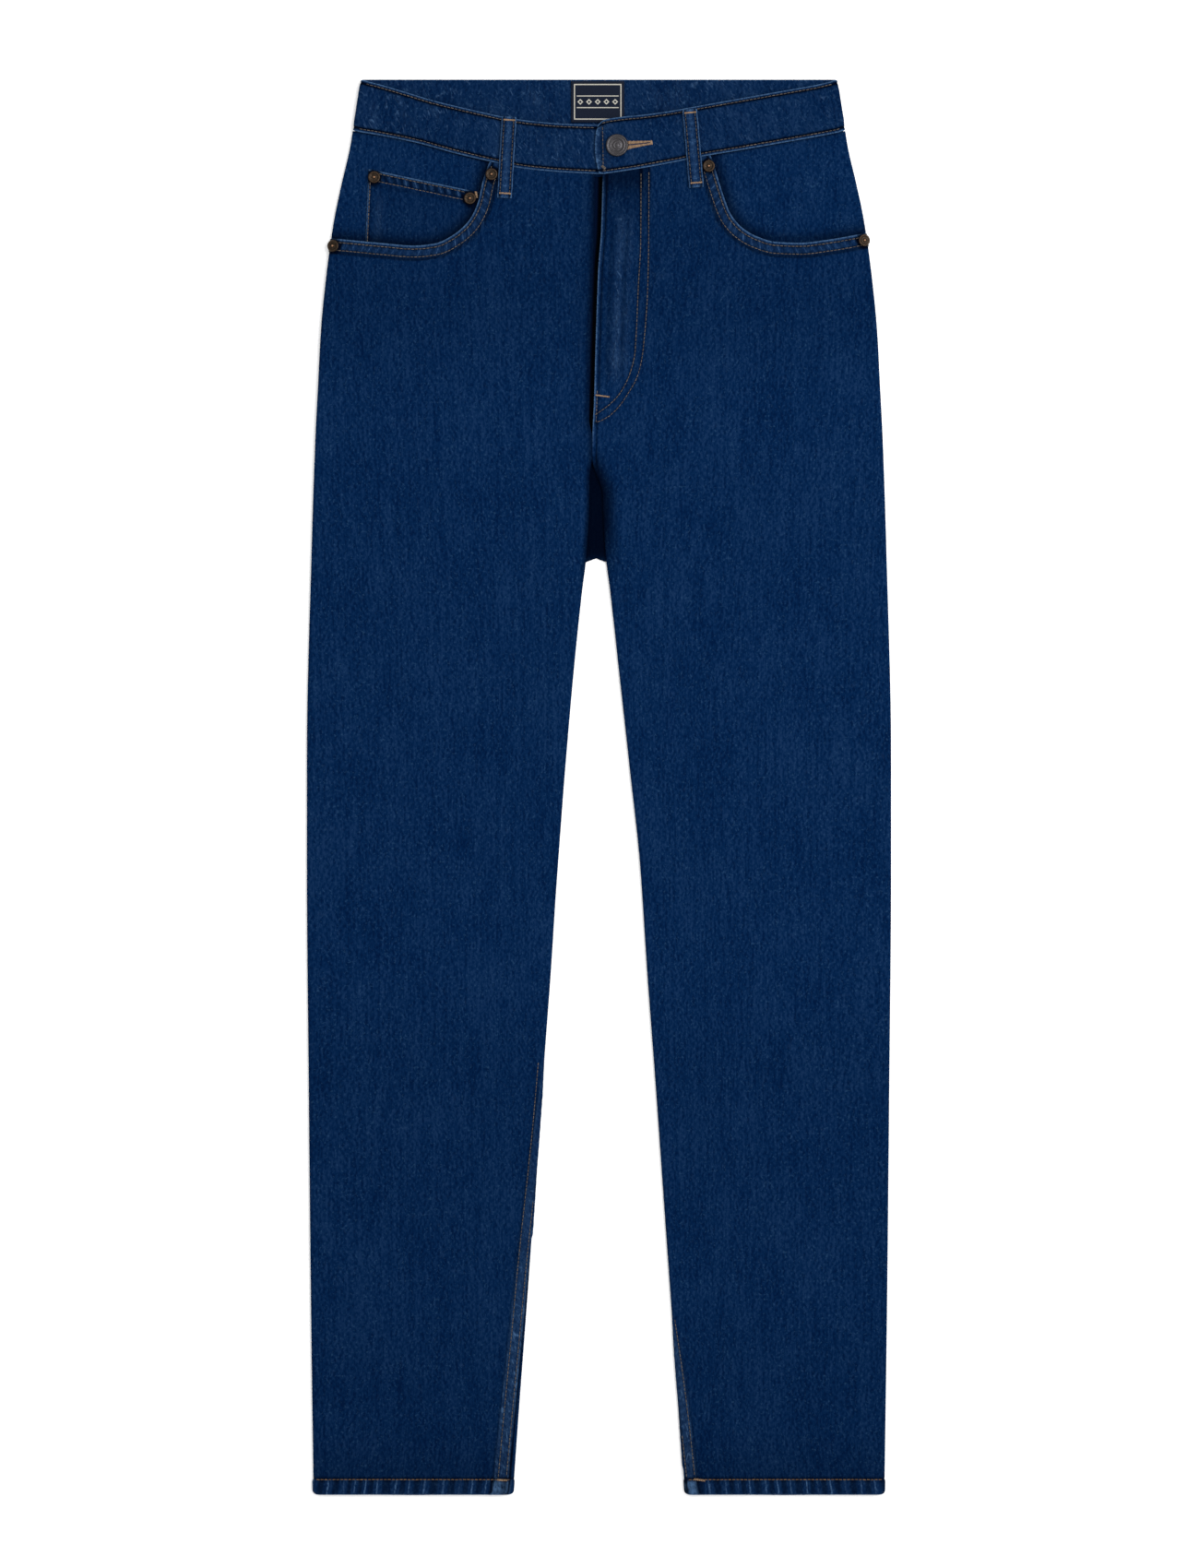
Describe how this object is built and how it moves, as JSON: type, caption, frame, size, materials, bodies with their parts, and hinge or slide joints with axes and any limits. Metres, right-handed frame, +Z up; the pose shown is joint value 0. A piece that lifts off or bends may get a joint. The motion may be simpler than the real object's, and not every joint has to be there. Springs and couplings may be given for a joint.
{
  "type": "mom jeans",
  "caption": "High-rise tapered jeans laid flat with the front up: two joined legs, waistband, fly, front and back pockets, belt loops and turned hems.",
  "frame": {"origin": "centre of the footprint, on the floor", "axes": "+X to the wearer's left, +Y to the waist, +Z up from the back of the garment to its front"},
  "size_m": [0.4432, 1.073, 0.0127],
  "materials": {
    "denim": "dark indigo twill, matt",
    "zip_tape": "navy woven tape, matt",
    "zip_chain": "dull brass",
    "button_metal": "dark antique nickel",
    "buttonhole_thread": "orange-brown thread, matt",
    "rivet_metal": "antique copper",
    "label": "navy woven label, matt"
  },
  "bodies": {
    "root": {"front_right": "denim", "front_left": "denim", "back_right": "denim", "back_left": "denim", "yoke_right": "denim", "yoke_left": "denim", "back_pocket_right": "denim", "back_pocket_left": "denim", "pocket_facing_right": "denim", "pocket_facing_left": "denim", "coin_pocket": "denim", "waistband": "denim", "belt_loop_front_right": "denim", "belt_loop_front_left": "denim", "belt_loop_back_right": "denim", "belt_loop_back_centre": "denim", "belt_loop_back_left": "denim", "zip_tape": "zip_tape", "zip_chain": "zip_chain", "button": "button_metal", "buttonhole": "buttonhole_thread", "rivet_right_inner": "rivet_metal", "rivet_right_side": "rivet_metal", "rivet_coin_side": "rivet_metal", "rivet_coin_inner": "rivet_metal", "rivet_left_inner": "rivet_metal", "rivet_left_side": "rivet_metal", "label": "label"}
  },
  "joints": []
}
